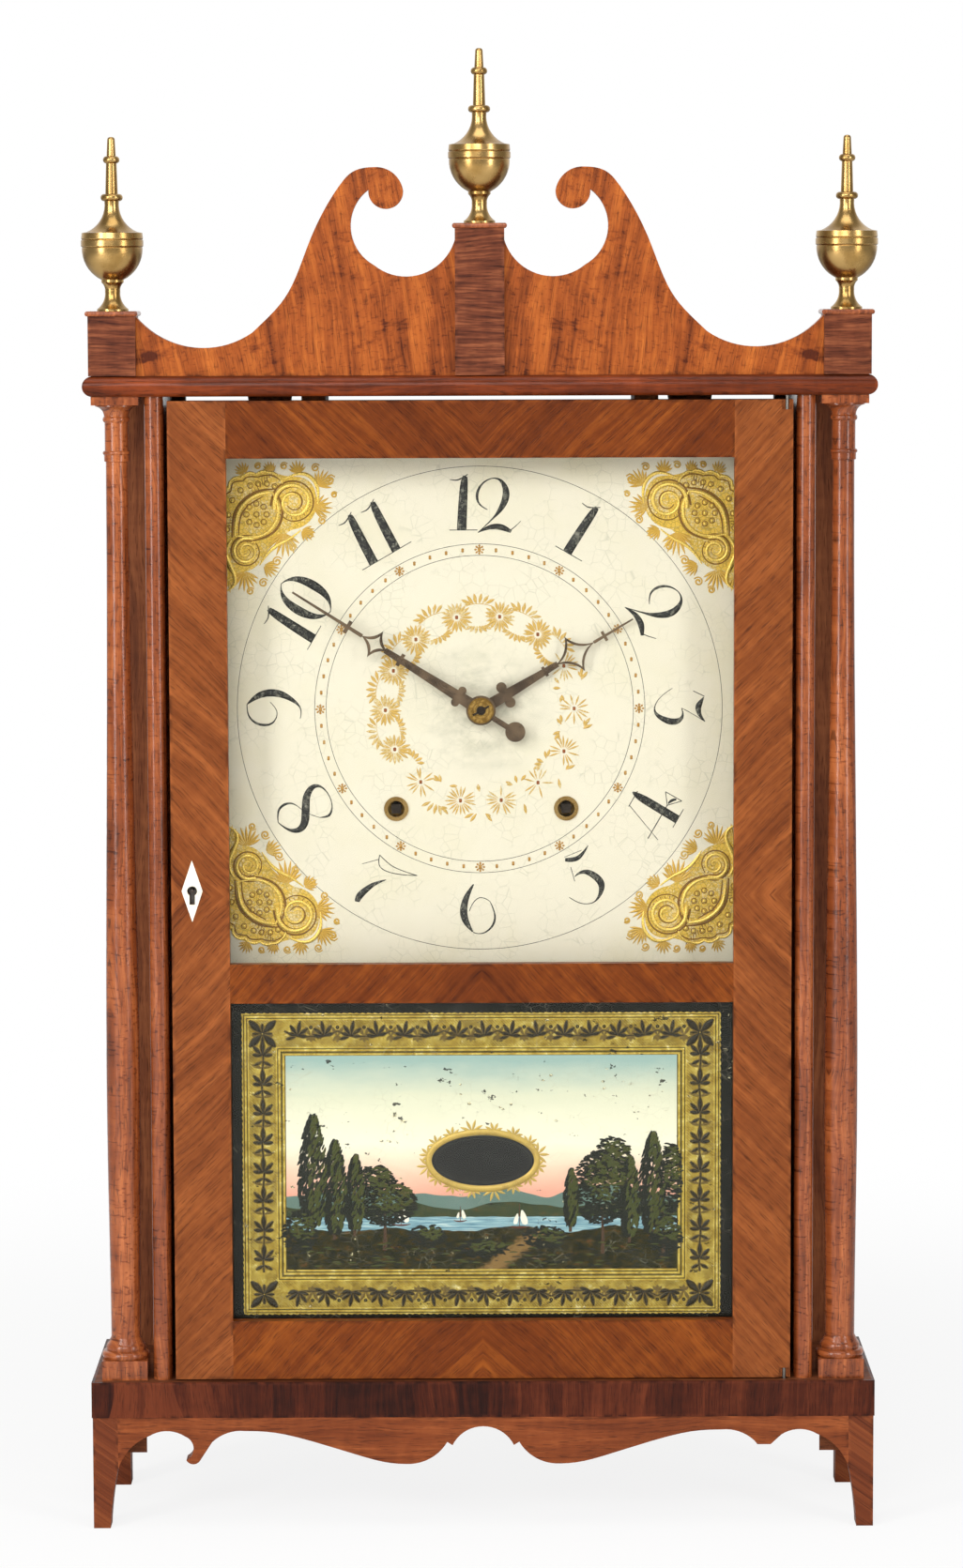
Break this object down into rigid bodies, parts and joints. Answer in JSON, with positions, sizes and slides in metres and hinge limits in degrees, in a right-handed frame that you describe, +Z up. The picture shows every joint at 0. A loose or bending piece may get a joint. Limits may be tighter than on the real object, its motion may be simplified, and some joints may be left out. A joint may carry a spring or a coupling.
{
  "type": "pillar and scroll shelf clock",
  "caption": "Weight-driven shelf clock with free-standing columns, a scrolled crest, brass urn finials, a painted dial, and a hinged door with glass over a painted tablet.",
  "frame": {"origin": "on the floor, under the middle of the clock", "axes": "+Z up, the dial faces -Y, +X to the right when seen from the front"},
  "size_m": [0.424, 0.1141, 0.7958],
  "materials": {
    "veneer": "polished cross-banded mahogany veneer",
    "mahogany": "polished mahogany with a worn shellac finish",
    "secondary_wood": "unfinished pine, darkened with age",
    "dial_paint": "ivory oil paint on wood",
    "brass": "aged satin brass",
    "iron": "blackened iron",
    "steel": "dull steel wire and sheet",
    "pulley_wood": "turned hardwood",
    "cast_iron": "rough cast iron",
    "clear_glass": "clear old glass",
    "painted_glass": "glass painted on its back",
    "bone": "polished bone",
    "cord": "twisted linen cord"
  },
  "bodies": {
    "case": {"base_board": "secondary_wood", "base_facing": "veneer", "front_apron": "mahogany", "side_skirt_left": "mahogany", "side_skirt_right": "mahogany", "glue_blocks": "secondary_wood", "side_boards": "mahogany", "columns": "mahogany", "column_blocks": "mahogany", "cornice": "mahogany", "scroll_board": "mahogany", "centre_plinth": "veneer", "side_plinths": "veneer", "plinth_caps": "mahogany", "finials": "brass", "back_board": "secondary_wood", "pulley_blocks": "secondary_wood", "movement_uprights": "secondary_wood", "dial_board": "dial_paint", "winding_grommets": "brass", "front_plate": "brass", "back_plate": "brass", "bell": "brass", "suspension_stud": "steel", "hinge_pins": "steel", "cord_leads": "cord", "time_cord": "cord", "strike_cord": "cord"},
    "door": {"door_stile_left": "mahogany", "door_stile_right": "mahogany", "door_rail_top": "mahogany", "door_rail_middle": "mahogany", "door_rail_bottom": "mahogany", "dial_glass": "clear_glass", "tablet_glass": "painted_glass", "glass_beads": "mahogany", "escutcheon": "bone", "lock_case": "steel"},
    "bolt": {"lock_bolt": "steel"},
    "minute": {"minute_hand": "iron", "minute_arbor": "brass"},
    "hour": {"hour_hand": "iron", "hour_wheel": "brass"},
    "motion": {"motion_wheel": "brass"},
    "great_time": {"time_great_wheel": "brass"},
    "second": {"second_wheel": "brass"},
    "third": {"third_wheel": "brass"},
    "escape": {"escape_wheel": "brass"},
    "verge": {"verge": "steel"},
    "pendulum": {"pendulum": "steel"},
    "drum_time": {"time_drum": "brass"},
    "drum_strike": {"strike_drum": "brass"},
    "weight_time": {"time_weight": "cast_iron"},
    "weight_strike": {"strike_weight": "cast_iron"},
    "pulley_time": {"time_pulley": "pulley_wood"},
    "pulley_strike": {"strike_pulley": "pulley_wood"},
    "great_strike": {"strike_great_wheel": "brass"},
    "pin_wheel": {"pin_wheel": "brass"},
    "fly": {"fly": "brass"},
    "hammer": {"hammer": "steel"}
  },
  "joints": [
    {"name": "door_swing", "type": "hinge", "parent": "case", "child": "door", "pos_m": [0.1632, -0.04755, 0.3465], "axis": [0, 0, 1], "range_deg": [0, 110]},
    {"name": "bolt_slide", "type": "slide", "parent": "door", "child": "bolt", "axis": [-1, 0, 0], "range_m": [0, 0.005]},
    {"name": "minute_spin", "type": "hinge", "parent": "case", "child": "minute", "pos_m": [0, 0.01, 0.443], "axis": [0, 1, 0], "continuous": true},
    {"name": "hour_spin", "type": "hinge", "parent": "case", "child": "hour", "pos_m": [0, -0.02, 0.443], "axis": [0, 1, 0], "continuous": true},
    {"name": "motion_spin", "type": "hinge", "parent": "case", "child": "motion", "pos_m": [0, -0.014, 0.425], "axis": [0, 1, 0], "continuous": true},
    {"name": "second_spin", "type": "hinge", "parent": "case", "child": "second", "pos_m": [0.038, 0.01, 0.42901], "axis": [0, 1, 0], "continuous": true},
    {"name": "great_time_spin", "type": "hinge", "parent": "case", "child": "great_time", "pos_m": [0.046, -0.003, 0.389], "axis": [0, 1, 0], "continuous": true},
    {"name": "third_spin", "type": "hinge", "parent": "case", "child": "third", "pos_m": [0.02703, 0.01, 0.45837], "axis": [0, 1, 0], "continuous": true},
    {"name": "escape_spin", "type": "hinge", "parent": "case", "child": "escape", "pos_m": [0, 0.01, 0.46588], "axis": [0, 1, 0], "continuous": true},
    {"name": "pendulum_swing", "type": "hinge", "parent": "case", "child": "pendulum", "pos_m": [0, 0.033, 0.49388], "axis": [0, 1, 0], "range_deg": [-3, 3]},
    {"name": "verge_rock", "type": "hinge", "parent": "case", "child": "verge", "pos_m": [0, 0.01, 0.49388], "axis": [0, 1, 0], "range_deg": [-3, 3]},
    {"name": "great_strike_spin", "type": "hinge", "parent": "case", "child": "great_strike", "pos_m": [-0.046, -0.003, 0.389], "axis": [0, 1, 0], "continuous": true},
    {"name": "pin_wheel_spin", "type": "hinge", "parent": "case", "child": "pin_wheel", "pos_m": [-0.038, 0.01, 0.42901], "axis": [0, 1, 0], "continuous": true},
    {"name": "fly_spin", "type": "hinge", "parent": "case", "child": "fly", "pos_m": [-0.03599, 0.01, 0.45864], "axis": [0, 1, 0], "continuous": true},
    {"name": "hammer_lift", "type": "hinge", "parent": "case", "child": "hammer", "pos_m": [-0.064, 0.01, 0.505], "axis": [0, 1, 0], "range_deg": [-8, 0], "stiffness_Nm_per_rad": 0.01},
    {"name": "time_weight_lift", "type": "slide", "parent": "case", "child": "weight_time", "axis": [0, 0, 1], "range_m": [0, 0.3], "deforming": ["time_cord"]},
    {"name": "time_drum_spin", "type": "hinge", "parent": "case", "child": "drum_time", "pos_m": [0.046, 0.01, 0.389], "axis": [0, 1, 0], "range_deg": [0, 2122.07]},
    {"name": "time_pulley_spin", "type": "hinge", "parent": "case", "child": "pulley_time", "pos_m": [0.114, 0.01305, 0.592], "axis": [0, 1, 0], "range_deg": [0, 1145.92]},
    {"name": "strike_weight_lift", "type": "slide", "parent": "case", "child": "weight_strike", "axis": [0, 0, 1], "range_m": [0, 0.3], "deforming": ["strike_cord"]},
    {"name": "strike_drum_spin", "type": "hinge", "parent": "case", "child": "drum_strike", "pos_m": [-0.046, 0.01, 0.389], "axis": [0, 1, 0], "range_deg": [-2122.07, 0]},
    {"name": "strike_pulley_spin", "type": "hinge", "parent": "case", "child": "pulley_strike", "pos_m": [-0.114, 0.01305, 0.592], "axis": [0, 1, 0], "range_deg": [-1145.92, 0]}
  ],
  "couplings": [
    {"joint": "hour_spin", "follows": "minute_spin", "ratio": 0.083333},
    {"joint": "motion_spin", "follows": "minute_spin", "ratio": -0.33333},
    {"joint": "second_spin", "follows": "minute_spin", "ratio": -1},
    {"joint": "great_time_spin", "follows": "minute_spin", "ratio": 0.2},
    {"joint": "third_spin", "follows": "minute_spin", "ratio": 10},
    {"joint": "escape_spin", "follows": "minute_spin", "ratio": -100},
    {"joint": "verge_rock", "follows": "pendulum_swing", "ratio": 1},
    {"joint": "pin_wheel_spin", "follows": "great_strike_spin", "ratio": -5},
    {"joint": "fly_spin", "follows": "great_strike_spin", "ratio": 40},
    {"joint": "time_drum_spin", "follows": "time_weight_lift", "rad_per_m": 123.46},
    {"joint": "time_pulley_spin", "follows": "time_weight_lift", "rad_per_m": 66.667},
    {"joint": "strike_drum_spin", "follows": "strike_weight_lift", "rad_per_m": -123.46},
    {"joint": "strike_pulley_spin", "follows": "strike_weight_lift", "rad_per_m": -66.667}
  ]
}
